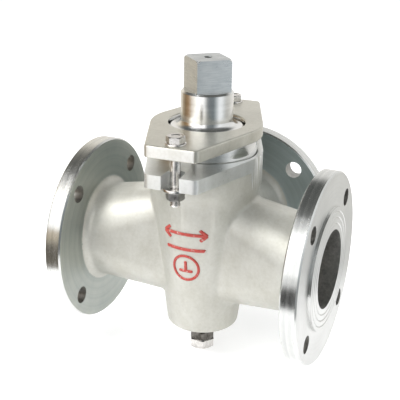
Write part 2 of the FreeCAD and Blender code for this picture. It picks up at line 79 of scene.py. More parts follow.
def make_camera():
    """A long lens in front of the right port, slightly above the valve."""
    a, e, roll = CAMERA_AZIMUTH, CAMERA_ELEVATION, CAMERA_ROLL
    back = Vector((math.sin(a) * math.cos(e), -math.cos(a) * math.cos(e), math.sin(e)))
    level = Vector((math.cos(a), math.sin(a), 0.0))
    upward = back.cross(level)
    right = math.cos(roll) * level + math.sin(roll) * upward
    up = math.cos(roll) * upward - math.sin(roll) * level
    data = bpy.data.cameras.new("camera")
    data.lens = LENS
    data.sensor_width = 36.0
    camera = bpy.data.objects.new("camera", data)
    bpy.context.scene.collection.objects.link(camera)
    turn = Matrix((right, up, back)).transposed().to_4x4()
    camera.matrix_world = Matrix.Translation(CAMERA_AIM + back * CAMERA_DISTANCE) @ turn
    bpy.context.scene.camera = camera


# ------------------------------------------------------------------ shaders

class Nodes:
    """The node tree of a material, with short calls that add and link nodes."""

    def __init__(self, name):
        self.material = bpy.data.materials.new(name)
        self.material.use_nodes = True
        self.tree = self.material.node_tree
        self.shader = self.tree.nodes["Principled BSDF"]

    def put(self, socket, value):
        """Links a socket to another, or sets its value."""
        if isinstance(value, bpy.types.NodeSocket):
            self.tree.links.new(value, socket)
        else:
            socket.default_value = value

    def add(self, kind, inputs=(), **settings):
        """A new node with its settings and its inputs, by number or by name."""
        node = self.tree.nodes.new("ShaderNode" + kind)
        for name, value in settings.items():
            setattr(node, name, value)
        for key, value in dict(inputs).items():
            self.put(node.inputs[key], value)
        return node

    def place(self):
        """The point on the object, in metres."""
        return self.add("TexCoord").outputs["Object"]

    def math(self, operation, a, b=0.0):
        return self.add("Math", {0: a, 1: b}, operation=operation).outputs[0]

    def vector(self, operation, a, b=(0.0, 0.0, 0.0)):
        node = self.add("VectorMath", {0: a, 1: b}, operation=operation)
        return node.outputs["Value" if operation in ("DOT_PRODUCT", "LENGTH") else "Vector"]

    def noise(self, point, scale, detail=3.0, rough=0.55):
        """Noise between 0 and 1 whose features are about 1 / scale long."""
        return self.add("TexNoise", {"Vector": point, "Scale": scale, "Detail": detail,
                                     "Roughness": rough}).outputs["Fac"]

    def span(self, value, low, high, to_low=0.0, to_high=1.0):
        """The value from low to high, carried over to another span and held within it."""
        return self.add("MapRange", {0: value, 1: low, 2: high, 3: to_low, 4: to_high}).outputs[0]

    def mix(self, factor, a, b):
        """Colours a and b, mixed."""
        node = self.add("Mix", data_type="RGBA")
        self.put(node.inputs[0], factor)
        self.put(node.inputs[6], a if isinstance(a, bpy.types.NodeSocket) else (*a, 1.0))
        self.put(node.inputs[7], b if isinstance(b, bpy.types.NodeSocket) else (*b, 1.0))
        return node.outputs[2]

    def bump(self, height, strength, distance, under=None):
        inputs = {"Height": height, "Strength": strength, "Distance": distance}
        if under is not None:
            inputs["Normal"] = under
        return self.add("Bump", inputs).outputs["Normal"]

    def finish(self, **inputs):
        """Sets the shader's own sockets; two underscores stand for a space."""
        for name, value in inputs.items():
            if isinstance(value, tuple) and len(value) == 3:
                value = (*value, 1.0)
            self.put(self.shader.inputs[name.replace("__", " ")], value)
        return self.material


def turned_metal(name, axis, centre, light, dark, rough, grooves=1.0, anisotropy=0.55):
    """Steel turned on a lathe: fine rings about an axis, faint bands and a few stains."""
    n = Nodes(name)
    point = n.vector("SUBTRACT", n.place(), tuple(centre))
    along = n.vector("DOT_PRODUCT", point, tuple(axis))
    across = n.vector("CROSS_PRODUCT", tuple(axis), point)
    radius = n.vector("LENGTH", across)
    ring = n.add("CombineXYZ", {0: radius, 1: along}).outputs[0]
    fine = n.noise(ring, 2200.0, 2.0, 0.6)
    bands = n.noise(ring, 260.0, 3.0, 0.6)
    patches = n.noise(point, 24.0, 4.0, 0.6)
    smears = n.noise(n.vector("MULTIPLY", point, (90.0, 90.0, 60.0)), 1.0, 5.0, 0.65)
    mood = n.math("ADD", n.math("MULTIPLY", bands, 0.55), n.math("MULTIPLY", patches, 0.45))
    colour = n.mix(n.span(mood, 0.34, 0.68), dark, light)
    rougher = n.span(n.math("ADD", bands, smears), 0.6, 1.4, rough - 0.07, rough + 0.08)
    height = n.math("ADD", n.math("MULTIPLY", fine, 0.6), n.math("MULTIPLY", bands, 0.8))
    normal = n.bump(height, min(1.0, 0.35 * grooves), 0.00006)
    tangent = n.vector("NORMALIZE", across)
    return n.finish(Base__Color=colour, Metallic=1.0, Roughness=rougher, Normal=normal,
                    Anisotropic=anisotropy, Anisotropic__Rotation=0.25, Tangent=tangent)


def cast_metal(name, light, dark, rough=0.40, grain=1.0, metal=1.0):
    """Cast stainless steel, blasted and pickled to a satin: fine grain, soft swells and faint stains."""
    n = Nodes(name)
    point = n.place()
    grit = n.noise(point, 1400.0, 3.0, 0.65)
    pits = n.noise(point, 330.0, 4.0, 0.6)
    swell = n.noise(point, 60.0, 3.0, 0.5)
    stain = n.noise(n.vector("MULTIPLY", point, (1.0, 1.0, 0.6)), 34.0, 5.0, 0.66)
    mood = n.math("ADD", n.math("MULTIPLY", stain, 0.7), n.math("MULTIPLY", pits, 0.3))
    colour = n.mix(n.span(mood, 0.37, 0.65), dark, light)
    specks = n.span(pits, 0.68, 0.78)
    colour = n.mix(n.math("MULTIPLY", specks, 0.08), colour, (0.30, 0.29, 0.26))
    rougher = n.span(n.math("ADD", grit, stain), 0.7, 1.3, rough - 0.06, rough + 0.08)
    low = n.bump(swell, 0.16 * grain, 0.0016)
    normal = n.bump(n.math("ADD", n.math("MULTIPLY", grit, 0.5), pits), 0.22 * grain, 0.00016, low)
    return n.finish(Base__Color=colour, Metallic=metal, Roughness=rougher, Normal=normal)


def fastener_metal(name, light, dark, rough):
    """Bright drawn steel, with fine scratches and smudges; given darker tones, it makes the painted shade on
    the nuts.
    """
    n = Nodes(name)
    point = n.place()
    scratch = n.noise(n.vector("MULTIPLY", point, (900.0, 900.0, 140.0)), 1.0, 3.0, 0.6)
    smudge = n.noise(point, 160.0, 4.0, 0.6)
    colour = n.mix(n.span(smudge, 0.35, 0.65), dark, light)
    rougher = n.span(n.math("ADD", scratch, smudge), 0.7, 1.3, rough - 0.06, rough + 0.10)
    normal = n.bump(scratch, 0.15, 0.00005)
    return n.finish(Base__Color=colour, Metallic=1.0, Roughness=rougher, Normal=normal)


def milled_metal(name, light, dark, rough):
    """Steel milled flat by a cutter that left level marks, with a little tarnish."""
    n = Nodes(name)
    point = n.place()
    marks = n.noise(n.vector("MULTIPLY", point, (70.0, 70.0, 1700.0)), 1.0, 3.0, 0.6)
    tarnish = n.noise(point, 70.0, 4.0, 0.6)
    mood = n.math("ADD", n.math("MULTIPLY", marks, 0.6), n.math("MULTIPLY", tarnish, 0.4))
    colour = n.mix(n.span(mood, 0.38, 0.62), dark, light)
    normal = n.bump(marks, 0.3, 0.00012)
    return n.finish(Base__Color=colour, Metallic=1.0, Normal=normal,
                    Roughness=n.span(tarnish, 0.3, 0.7, rough - 0.05, rough + 0.07))


def packing_fibre(name):
    """Square braided packing, dusted with graphite."""
    n = Nodes(name)
    point = n.vector("SUBTRACT", n.place(), tuple(AXIS))
    split = n.add("SeparateXYZ", {0: point})
    turn = n.math("ARCTAN2", split.outputs[1], split.outputs[0])
    round_ring = n.math("MULTIPLY", turn, 90.0)
    up_ring = n.math("MULTIPLY", split.outputs[2], 1900.0)
    rising = n.math("SINE", n.math("ADD", round_ring, up_ring))
    falling = n.math("SINE", n.math("SUBTRACT", round_ring, up_ring))
    braid = n.math("MAXIMUM", rising, falling)
    fuzz = n.noise(point, 1500.0, 3.0)
    height = n.math("ADD", braid, fuzz)
    colour = n.mix(n.span(height, 0.2, 1.6), (0.025, 0.025, 0.028), (0.11, 0.11, 0.115))
    normal = n.bump(height, 0.5, 0.0003)
    return n.finish(Base__Color=colour, Roughness=n.span(fuzz, 0.3, 0.7, 0.55, 0.75), Normal=normal)


def red_enamel(name):
    """Red paint brushed over the raised mark, worn to the metal on its crown."""
    n = Nodes(name)
    point = n.place()
    worn = n.noise(point, 420.0, 4.0, 0.65)
    brush = n.noise(n.vector("MULTIPLY", point, (500.0, 500.0, 1600.0)), 1.0, 3.0)
    bare = n.span(worn, 0.60, 0.68)
    paint = n.mix(n.span(brush, 0.3, 0.7), (0.36, 0.035, 0.028), (0.56, 0.075, 0.055))
    colour = n.mix(bare, paint, (0.66, 0.62, 0.57))
    normal = n.bump(n.math("ADD", brush, worn), 0.25, 0.0001)
    return n.finish(Base__Color=colour, Metallic=n.math("MULTIPLY", bare, 0.9),
                    Roughness=n.span(brush, 0.3, 0.7, 0.34, 0.5), Normal=normal)


X_AXIS, Y_AXIS, Z_AXIS = (1.0, 0.0, 0.0), (0.0, 1.0, 0.0), (0.0, 0.0, 1.0)
RIM_TONES = (0.80, 0.80, 0.78), (0.56, 0.57, 0.56)
FACE_TONES = (0.74, 0.74, 0.725), (0.62, 0.62, 0.60)
# Painted shade: the run flanges' backs get a darker, greenish copy of the turned steel's tones.
RUN_BACK_TONES = (0.50, 0.52, 0.48), (0.35, 0.38, 0.36)
# Painted shade and painted reflection: the branch flange's back gets a darker, blue-grey copy of the turned
# steel's tones.
BRANCH_BACK_TONES = (0.54, 0.62, 0.645), (0.40, 0.47, 0.49)
STEM_TONES = (0.86, 0.86, 0.85), (0.72, 0.72, 0.71)

CAST = cast_metal("cast_satin", (0.61, 0.605, 0.56), (0.49, 0.48, 0.425), 0.41, 1.0, 0.5)
CAST_TOP = cast_metal("cast_machined", (0.90, 0.91, 0.90), (0.75, 0.76, 0.74), 0.32, 0.6, 0.8)
GLAND_TOP = cast_metal("gland_satin", (0.66, 0.645, 0.58), (0.53, 0.515, 0.45), 0.33, 0.7, 0.9)
# The gland plate's end faces are ground; their brighter tone is also a painted highlight.
GLAND_END = cast_metal("gland_end_ground_and_highlight", (0.84, 0.84, 0.82), (0.68, 0.67, 0.63), 0.34, 0.8, 0.7)
RUN_TURNED = turned_metal("run_turned", X_AXIS, AXIS, *RIM_TONES, 0.24)
RUN_FACE = turned_metal("run_face", X_AXIS, AXIS, *FACE_TONES, 0.34, 0.7)
# Painted shade on the run flanges' backs.
RUN_BACK = turned_metal("run_back_painted_shade", X_AXIS, AXIS, *RUN_BACK_TONES, 0.38, 1.0, 0.3)
BRANCH_TURNED = turned_metal("branch_turned", Y_AXIS, AXIS, *RIM_TONES, 0.24)
BRANCH_FACE = turned_metal("branch_face", Y_AXIS, AXIS, *FACE_TONES, 0.34, 0.7)
# Painted shade and a painted blue-grey reflection on the branch flange's back.
BRANCH_BACK = turned_metal("branch_back_painted_shade", Y_AXIS, AXIS, *BRANCH_BACK_TONES, 0.38, 1.0, 0.3)
STEM_TURNED = turned_metal("stem_turned", Z_AXIS, AXIS, *STEM_TONES, 0.16, 0.8, 0.35)
STEM_MILLED = milled_metal("stem_milled", (0.70, 0.72, 0.72), (0.50, 0.53, 0.54), 0.30)
# Painted shade: bores, stud holes and the packing box get a much darker copy of the cast steel, as shade
# falls inside them.
HOLE = cast_metal("bore_painted_shade", (0.60, 0.59, 0.56), (0.22, 0.22, 0.215), 0.38, 1.8, 0.95)
BRIGHT = fastener_metal("fastener_bright", (0.80, 0.78, 0.76), (0.56, 0.54, 0.52), 0.22)
# Painted shade: the gland nuts, in shade under the body's flange, get a darker copy of the bright fastener
# steel.
DULL = fastener_metal("gland_nut_painted_shade", (0.44, 0.43, 0.42), (0.22, 0.215, 0.21), 0.30)
# Painted shade: the jack screw's lock nut, under the body, gets a near-black copy of the fastener steel.
DARK = fastener_metal("jack_nut_painted_shade", (0.20, 0.19, 0.175), (0.075, 0.07, 0.062), 0.28)
PACKING = packing_fibre("packing_fibre")
PAINT = red_enamel("red_enamel")

# ------------------------------------------------------------------ meshes


def add_object(name, mesh, body, slot, *nodes):
    """A new piece that rides on a body and stands for CAD nodes."""
    piece = bpy.data.objects.new(name, mesh)
    bpy.context.scene.collection.objects.link(piece)
    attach(piece, body)
    if nodes:
        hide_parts(*nodes)
    return piece


def soften(piece, width, angle=28.0, segments=2):
    """Breaks the sharp edges of a piece with a small round."""
    bevel = piece.modifiers.new("edges", "BEVEL")
    bevel.width = width
    bevel.segments = segments
    bevel.limit_method = "ANGLE"
    bevel.angle_limit = math.radians(angle)
    bevel.harden_normals = False
    bevel.use_clamp_overlap = True
    bevel.miter_outer = "MITER_ARC"
    return piece


def smooth(mesh, angle=28.0):
    """Shades a mesh smooth, but for the edges sharper than an angle."""
    mesh.shade_smooth()
    mesh.set_sharp_from_angle(angle=math.radians(angle))


def skin(name, node, body, slot, zone, width):
    """A copy of a CAD node with its own finish on each zone of the surface and with softened edges."""
    source = frame["nodes"][node].data
    mesh = source.copy()
    mesh.name = name
    if "custom_normal" in mesh.attributes:
        mesh.attributes.remove(mesh.attributes["custom_normal"])
    form = bmesh.new()
    form.from_mesh(mesh)
    bmesh.ops.remove_doubles(form, verts=form.verts, dist=2e-6)
    bmesh.ops.dissolve_limit(form, angle_limit=math.radians(0.2), verts=form.verts, edges=form.edges)
    finishes = []
    for face in form.faces:
        finish = zone(face.calc_center_median() - AXIS, face.normal)
        if finish not in finishes:
            finishes.append(finish)
        face.material_index = finishes.index(finish)
    mesh.materials.clear()
    for finish in finishes:
        mesh.materials.append(finish)
    form.to_mesh(mesh)
    form.free()
    smooth(mesh)
    piece = add_object(name, mesh, body, slot, node)
    return soften(piece, width)


# Where the zones of the surface end, from the point where the port axes cross the stem's axis.
PORT_FROM = 0.0995          # along a port's axis, the root of its flange
FLANGE_FROM = 0.1145        # along it, just behind the flange's back
FACE_FROM = 0.131           # along it, just behind the flange's face
RAISED_FROM = 0.1325        # along it, on the raised face's edge
RIM_FROM = 0.093            # from a port's axis, just inside the flange's rim
STUDS_FROM = 0.069          # from it, just inside the stud holes
RAISED_EDGE_FROM = 0.0605   # from it, just inside the raised face's edge
BORE_TO = 0.0415            # from it, just outside the bore
CAVITY_TO = 0.052           # from the stem's axis, just outside the packing box
CAVITY_TOP, CAVITY_BOTTOM = 0.104, -0.084
JACK_HOLE_TO, JACK_HOLE_BOTTOM = 0.0085, -0.093
MACHINED_FROM = 0.0915      # height of the body's machined top
SQUARE_FROM, SQUARE_TOP = 0.1655, 0.1975
CENTRE_HOLE_TO = 0.0155     # from the stem's axis, just inside the square's flats
SPIGOT_TO = 0.1205          # height of the gland's plate, just above its underside
GLAND_HOLE_TO = 0.041       # from the stem's axis, just outside the gland's hole


def port_of(point):
    """The port that a point belongs to, the point's distance along and from its axis, and the way out."""
    if abs(point.x) >= PORT_FROM:
        outward = Vector((math.copysign(1.0, point.x), 0, 0))
        return "run", abs(point.x), math.hypot(point.y, point.z), outward
    if point.y >= PORT_FROM:
        return "branch", point.y, math.hypot(point.x, point.z), Vector((0, 1, 0))
    return None, 0.0, 0.0, Vector()


def body_zone(point, normal):
    """The finish of each zone of the cast body, with painted shade inside its bores, stud holes and packing
    box.
    """
    port, along, radius, outward = port_of(point)
    if port:
        turned, face, back = ((RUN_TURNED, RUN_FACE, RUN_BACK) if port == "run"
                              else (BRANCH_TURNED, BRANCH_FACE, BRANCH_BACK))
        facing = normal.dot(outward)
        if radius > RIM_FROM and along > FLANGE_FROM:
            return turned
        if facing > 0.5 and along > FACE_FROM:
            return face
        if radius > RAISED_EDGE_FROM and along > RAISED_FROM:
            return turned
        # Flange backs take darker copies of the turned steel: painted shade, with a painted blue-grey
        # reflection on the branch.
        if facing < -0.7 and along > FLANGE_FROM:
            return back
        # Painted shade inside the stud holes and the bore.
        if (radius > STUDS_FROM and along > FLANGE_FROM) or radius < BORE_TO:
            return HOLE
        return CAST
    distance = math.hypot(point.x, point.y)
    inward = normal.xy.dot(point.xy) <= 1e-6
    bottom = JACK_HOLE_BOTTOM if distance < JACK_HOLE_TO else CAVITY_BOTTOM
    # Painted shade inside the packing box and the jack screw's hole.
    if inward and distance < CAVITY_TO and bottom < point.z <= CAVITY_TOP:
        return HOLE
    return CAST_TOP if point.z > MACHINED_FROM else CAST


def plug_zone(point, normal):
    """The plug is turned, but for the milled square on its stem."""
    on_flats = math.hypot(point.x, point.y) > CENTRE_HOLE_TO and normal.z < 0.3
    if point.z > SQUARE_TOP or (point.z > SQUARE_FROM and on_flats):
        return STEM_MILLED
    return STEM_TURNED


def gland_zone(point, normal):
    """The gland's plate is satin, its spigot and hole are turned, and its ground end faces are brighter,
    partly as a painted highlight.
    """
    in_hole = normal.z == 0.0 and math.hypot(point.x, point.y) < GLAND_HOLE_TO
    if point.z < SPIGOT_TO or in_hole:
        return STEM_TURNED
    # End faces: ground, and brighter as a painted highlight.
    return GLAND_END if abs(normal.y) > 0.95 else GLAND_TOP


def lathe(form, rings, count=72):
    """Rings of points about Z, each a pair of functions of the angle or of numbers, joined in a skin."""
    rows = []
    for radius, height in rings:
        row = []
        for i in range(count):
            angle = 2 * math.pi * i / count
            r = radius(angle) if callable(radius) else radius
            z = height(angle) if callable(height) else height
            row.append(form.verts.new((r * math.cos(angle), r * math.sin(angle), z)))
        rows.append(row)
    for low, high in zip(rows, rows[1:]):
        for i in range(count):
            form.faces.new((low[i], low[(i + 1) % count], high[(i + 1) % count], high[i]))
    return rows


CONE_FROM = 0.955   # where the cone on a hexagon's end starts, as a part of its half width
CONE_SLOPE = 0.577


def hexagon_radius(half):
    """The outline of a hexagon of a half width across its flats, with a corner at angle 0."""
    def radius(angle):
        return half / math.cos((angle % (math.pi / 3)) - math.pi / 6)
    return radius


def drop(half, level, sign):
    """The height of a hexagon's end where a cone has been turned off its corners."""
    outline = hexagon_radius(half)

    def height(angle):
        return level - sign * CONE_SLOPE * max(0.0, outline(angle) - half * CONE_FROM)
    return height


def thread_rows(radius, low, high, pitch, depth):
    """Rings of a helical thread, which fades out at both ends."""
    steps = max(8, round((high - low) / pitch * 8))
    rows = []
    for i in range(steps + 1):
        z = low + (high - low) * i / steps
        fade = min(1.0, (z - low) / pitch, (high - z) / (1.5 * pitch) - 0.1)

        def ring(angle, z=z, fade=max(0.0, fade)):
            phase = (z / pitch - angle / (2 * math.pi)) % 1.0
            groove = 1.0 - abs(2.0 * phase - 1.0)
            return radius - depth * fade * min(1.0, 1.25 * groove)
        rows.append((ring, z))
    return rows


def solid(name, form, body, slot, finish, where, *nodes, turn=0.0, width=0.00022):
    """Turns a form into a piece at a place on the frame."""
    bmesh.ops.recalc_face_normals(form, faces=form.faces)
    mesh = bpy.data.meshes.new(name)
    form.to_mesh(mesh)
    form.free()
    mesh.materials.append(finish)
    smooth(mesh, 30.0)
    piece = add_object(name, mesh, body, slot, *nodes)
    piece.location = where
    piece.rotation_euler.z = math.radians(turn)
    return soften(piece, width, 35.0) if width else piece


def centre_of(node):
    """The middle of a node's box on plan, and its lowest and highest levels."""
    low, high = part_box(node)
    return Vector(((low[0] + high[0]) / 2, (low[1] + high[1]) / 2, 0.0)), low[2], high[2]


def make_bolt(name, body, radius, half, head_low, head_high, tip, turn, pitch, threaded, head_up=True):
    """A hexagon head bolt along Z, with a rolled thread between its tip and the level threaded."""
    centre, _, _ = centre_of(name)
    form = bmesh.new()
    outline = hexagon_radius(half)
    top, bottom, sign = (head_high, head_low, 1.0) if head_up else (head_low, head_high, -1.0)
    step = sign * 0.0004
    collar = half * 0.93
    rings = [(0.0004, top - step), (half * 0.52, top - step), (half * 0.60, top), (half * CONE_FROM, top),
             (outline, drop(half, top, sign)), (outline, bottom + step), (collar, bottom + step),
             (collar, bottom), (radius + 0.0004, bottom), (radius, bottom - 1.5 * step),
             (radius, bottom - 3 * step)]
    start, stop = (tip + 0.0012, threaded) if head_up else (threaded, tip - 0.0012)
    shank = thread_rows(radius, start, stop, pitch, pitch * 0.55)
    rings += shank[::-1] if head_up else shank
    rings += [(radius - 0.0009, tip), (0.0004, tip)]
    rows = lathe(form, rings)
    form.faces.new(rows[0])
    form.faces.new(rows[-1])
    solid(name + "_full", form, body, "fastener_steel", BRIGHT, centre, name, turn=turn, width=0)


def make_nut(name, body, half, bore, turn, finish, slot):
    """A hexagon nut with chamfered corners and a countersunk bore."""
    centre, low, high = centre_of(name)
    form = bmesh.new()
    outline = hexagon_radius(half)
    sink, flare = 0.0008, bore + 0.0009
    rings = [(bore, low + sink), (flare, low), (half * CONE_FROM, low), (outline, drop(half, low, -1.0)),
             (outline, drop(half, high, 1.0)), (half * CONE_FROM, high), (flare, high),
             (bore, high - sink), (bore, low + sink)]
    lathe(form, rings)
    bmesh.ops.remove_doubles(form, verts=form.verts, dist=1e-7)
    solid(name + "_full", form, body, slot, finish, centre, name, turn=turn, width=0.00018)


def make_washer(name, body, inner, finish, slot):
    """A flat washer with its stamped edge: round above, sheared below."""
    centre, low, high = centre_of(name)
    outer = (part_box(name)[1][0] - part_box(name)[0][0]) / 2
    form = bmesh.new()
    edge = 0.0004
    rings = [(inner, low + edge), (inner + edge, low), (outer - 0.5 * edge, low), (outer, low + 0.5 * edge),
             (outer, high - 1.6 * edge), (outer - 0.5 * edge, high - 0.5 * edge), (outer - 1.6 * edge, high),
             (inner + edge, high), (inner, high - edge), (inner, low + edge)]
    lathe(form, rings)
    bmesh.ops.remove_doubles(form, verts=form.verts, dist=1e-7)
    solid(name + "_full", form, body, slot, finish, centre, name, width=0)


# ------------------------------------------------------------------ the valve

GLAND_TURN = 3.5   # degrees
M10_SHANK, M10_HEXAGON, M10_PITCH = 5.0 * MM, 8.0 * MM, 1.5 * MM
M16_SHANK, M16_HEXAGON, M16_PITCH = 8.0 * MM, 12.0 * MM, 2.0 * MM
NUT_PLAY, M10_WASHER_PLAY, M16_WASHER_PLAY = 0.05 * MM, 0.25 * MM, 0.5 * MM
GLAND_THREAD = 6.0 * MM   # thread that shows above a gland nut
JACK_HEAD, JACK_NECK = 10.0 * MM, 2.0 * MM

skin("cast_body", "valve_body", "body", "cast_stainless", body_zone, 0.0006)
skin("plug_and_stem", "tapered_plug", "plug", "turned_stainless", plug_zone, 0.0005)
skin("gland_plate", "gland_flange", "gland", "cast_stainless", gland_zone, 0.0004)

for place, head_turn, nut_turn in (("front", 12.0, 9.0), ("rear", -8.0, -11.0)):
    bolt, washer, nut = f"gland_bolt_{place}", f"gland_washer_{place}", f"gland_nut_{place}"
    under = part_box(washer)[1][2]
    bolt_low, bolt_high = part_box(bolt)[0][2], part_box(bolt)[1][2]
    make_bolt(bolt, "gland", M10_SHANK, M10_HEXAGON, under, bolt_high, bolt_low,
              head_turn + GLAND_TURN, M10_PITCH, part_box(nut)[1][2] + GLAND_THREAD)
    # The gland nut takes the darker copy of the steel: painted shade.
    make_nut(nut, f"nut_{place}", M10_HEXAGON, M10_SHANK + NUT_PLAY, nut_turn + GLAND_TURN, DULL,
             "fastener_steel")
    make_washer(washer, "gland", M10_SHANK + M10_WASHER_PLAY, BRIGHT, "fastener_steel")
    make_washer(f"slot_washer_{place}", "body", M10_SHANK + M10_WASHER_PLAY, BRIGHT, "fastener_steel")

jack_low, jack_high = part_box("jack_screw")[0][2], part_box("jack_screw")[1][2]
jack_neck = jack_low + JACK_HEAD
make_bolt("jack_screw", "jack_screw", M16_SHANK, M16_HEXAGON, jack_low, jack_neck, jack_high,
          -64.0, M16_PITCH, jack_neck + JACK_NECK, head_up=False)
# The lock nut takes the near-black copy of the steel: painted shade.
make_nut("jack_lock_nut", "jack_lock_nut", M16_HEXAGON, M16_SHANK + NUT_PLAY, -67.0, DARK, "dark_nut_steel")
make_washer("jack_seal_washer", "body", M16_SHANK + M16_WASHER_PLAY, PACKING, "packing")

for node in ("packing_ring_1", "packing_ring_2", "packing_ring_3", "packing_ring_4"):
    frame["nodes"][node].material_slots[0].material = PACKING
frame["nodes"]["packing_seat_ring"].material_slots[0].material = STEM_TURNED

# ------------------------------------------------------------------ the flow mark

SHELL_RADIUS, SHELL_SLOPE = 0.047, 0.12   # at the level of the port axes, and its growth with height


def raised_bar(form, start, end, width, height, joined=False):
    """A round-topped bar on the front of the shell, from start to end, each given as (across, up)."""
    a, b = Vector(start), Vector(end)
    run = (b - a).normalized()
    side = Vector((-run.y, run.x))
    profile = [(-0.5, -0.6), (-0.5, 0.35), (-0.36, 0.82), (-0.15, 1.0),
               (0.15, 1.0), (0.36, 0.82), (0.5, 0.35), (0.5, -0.6)]
    length = (b - a).length
    steps = max(6, round(length / 0.0012))
    rows = []
    for i in range(steps + 1):
        t = i / steps
        end_gap = min(t, 1 - t) * length
        fall = 1.0 if joined else min(1.0, 0.45 + end_gap / 0.0012)
        narrow = 1.0 if joined else 0.8 + 0.2 * min(1.0, end_gap / 0.0009)
        row = []
        for u, v in profile:
            p = a.lerp(b, t) + side * u * width * narrow
            shell = SHELL_RADIUS + SHELL_SLOPE * p.y
            radius = shell + v * height * (fall if v > 0 else 1.0)
            angle = p.x / shell
            row.append(form.verts.new((AXIS.x + radius * math.sin(angle),
                                       AXIS.y - radius * math.cos(angle), p.y)))
        rows.append(row)
    for low, high in zip(rows, rows[1:]):
        for j in range(len(profile)):
            k = (j + 1) % len(profile)
            form.faces.new((low[j], low[k], high[k], high[j]))
    form.faces.new(rows[0])
    form.faces.new(rows[-1][::-1])


def make_flow_mark():
    """The cast and painted flow mark: the run's arrow, a rule, and the T of the ports in a ring."""
    form = bmesh.new()
    width, height = 0.0034, 0.0012

    def arrow(start, end, head):
        a, b = Vector(start), Vector(end)
        back = (a - b).normalized() * head
        side = Vector((-back.y, back.x)) * 0.8
        raised_bar(form, a, b, width, height)
        raised_bar(form, b, b + back + side, width, height)
        raised_bar(form, b, b + back - side, width, height)

    level, reach = 0.0315, 0.0235
    arrow((0.0, level), (-reach, level), 0.0075)
    arrow((0.0, level), (reach, level), 0.0075)
    raised_bar(form, (-0.0215, 0.0145), (0.0215, 0.0145), width, height)
    middle, size, count = -0.0065, 0.0135, 40
    turns = [2 * math.pi * i / count for i in range(count)]
    ring = [(size * math.cos(turn), middle + size * math.sin(turn)) for turn in turns]
    for i in range(count):
        raised_bar(form, ring[i], ring[(i + 1) % count], width * 0.8, height, joined=True)
    foot = middle - 0.0035
    raised_bar(form, (-0.0072, foot), (0.0072, foot), width * 0.9, height)
    raised_bar(form, (0.0, foot), (0.0, middle + 0.0075), width * 0.9, height)
    bmesh.ops.recalc_face_normals(form, faces=form.faces)
    mesh = bpy.data.meshes.new("flow_mark")
    form.to_mesh(mesh)
    form.free()
    mesh.materials.append(PAINT)
    smooth(mesh, 50.0)
    add_object("flow_mark", mesh, "body", "cast_stainless")


make_flow_mark()

# ------------------------------------------------------------------ studio

FLOOR_GLOW = 0.66
WORLD_STRENGTH = 0.92

# The tent's tones, as (bearing from the camera's side in degrees, colour).
CLOTH = [(-180.0, (0.95, 0.93, 0.90)), (-166.0, (0.90, 0.86, 0.82)), (-154.0, (0.80, 0.75, 0.68)),
         (-140.0, (0.92, 0.86, 0.74)), (-126.0, (0.48, 0.40, 0.28)), (-105.0, (0.24, 0.16, 0.085)),
         (-84.0, (0.36, 0.22, 0.11)), (-68.0, (0.46, 0.33, 0.19)), (-57.0, (0.78, 0.70, 0.55)),
         (-45.0, (1.25, 1.22, 1.15)), (-32.0, (1.35, 1.35, 1.35)), (-20.0, (1.15, 1.15, 1.15)),
         (-9.0, (0.72, 0.73, 0.73)), (1.0, (0.30, 0.32, 0.33)), (12.0, (0.16, 0.185, 0.20)),
         (28.0, (0.19, 0.225, 0.24)), (39.0, (0.50, 0.55, 0.57)), (52.0, (1.00, 1.04, 1.07)),
         (65.0, (1.00, 1.03, 1.06)), (78.0, (0.62, 0.64, 0.64)), (90.0, (0.52, 0.51, 0.48)),
         (104.0, (0.60, 0.59, 0.55)), (120.0, (0.80, 0.78, 0.74)), (140.0, (0.92, 0.90, 0.86)),
         (180.0, (0.95, 0.93, 0.90))]
GAP = [(-180.0, (0.70, 0.70, 0.66)), (-90.0, (0.24, 0.21, 0.16)), (-50.0, (0.10, 0.09, 0.075)),
       (-16.0, (0.06, 0.06, 0.06)), (20.0, (0.20, 0.21, 0.21)), (60.0, (0.60, 0.62, 0.63)),
       (110.0, (0.80, 0.80, 0.78)), (180.0, (0.70, 0.70, 0.66))]

# Heights above the floor in metres, by bearing: where the gap ends and where the cloth starts to fade.
GAP_TOP = [(-60.0, (0.115,)), (-50.0, (0.07,)), (-34.0, (0.07,)), (-22.0, (0.115,))]
CLOTH_TOP = [(-180.0, (0.46,)), (-90.0, (0.42,)), (-60.0, (0.45,)), (-18.0, (0.56,)), (60.0, (0.48,)),
             (180.0, (0.46,))]

# The cloth's tones above the level of the gland.
UPPER = [(-180.0, (0.95, 0.93, 0.90)), (-140.0, (0.92, 0.86, 0.74)), (-126.0, (0.52, 0.43, 0.31)),
         (-105.0, (0.28, 0.19, 0.10)), (-88.0, (0.42, 0.27, 0.14)), (-76.0, (1.00, 0.90, 0.75)),
         (-68.0, (1.70, 1.70, 1.70)), (-14.0, (1.70, 1.70, 1.70)), (-4.0, (0.60, 0.61, 0.61)),
         (4.0, (0.24, 0.26, 0.27)), (28.0, (0.19, 0.22, 0.23)), (42.0, (0.55, 0.58, 0.60)),
         (54.0, (1.05, 1.08, 1.10)), (74.0, (0.90, 0.92, 0.92)), (180.0, (0.95, 0.93, 0.90))]
UPPER_FROM, UPPER_FADE = 0.178, 0.018
CEILING = (0.12, 0.125, 0.12)

# The tent's outline, as (distance from the stem's axis, height above the floor).
TENT_PROFILE = [(0.30, 0.001), (0.36, 0.02), (0.40, 0.045), (0.42, 0.06), (0.42, 0.075), (0.42, 0.09),
                (0.42, 0.105), (0.42, 0.12), (0.42, 0.14), (0.42, 0.165), (0.42, 0.178), (0.42, 0.197),
                (0.43, 0.24), (0.44, 0.34), (0.44, 0.42), (0.43, 0.48), (0.41, 0.54), (0.37, 0.60),
                (0.30, 0.66), (0.18, 0.70), (0.001, 0.72)]


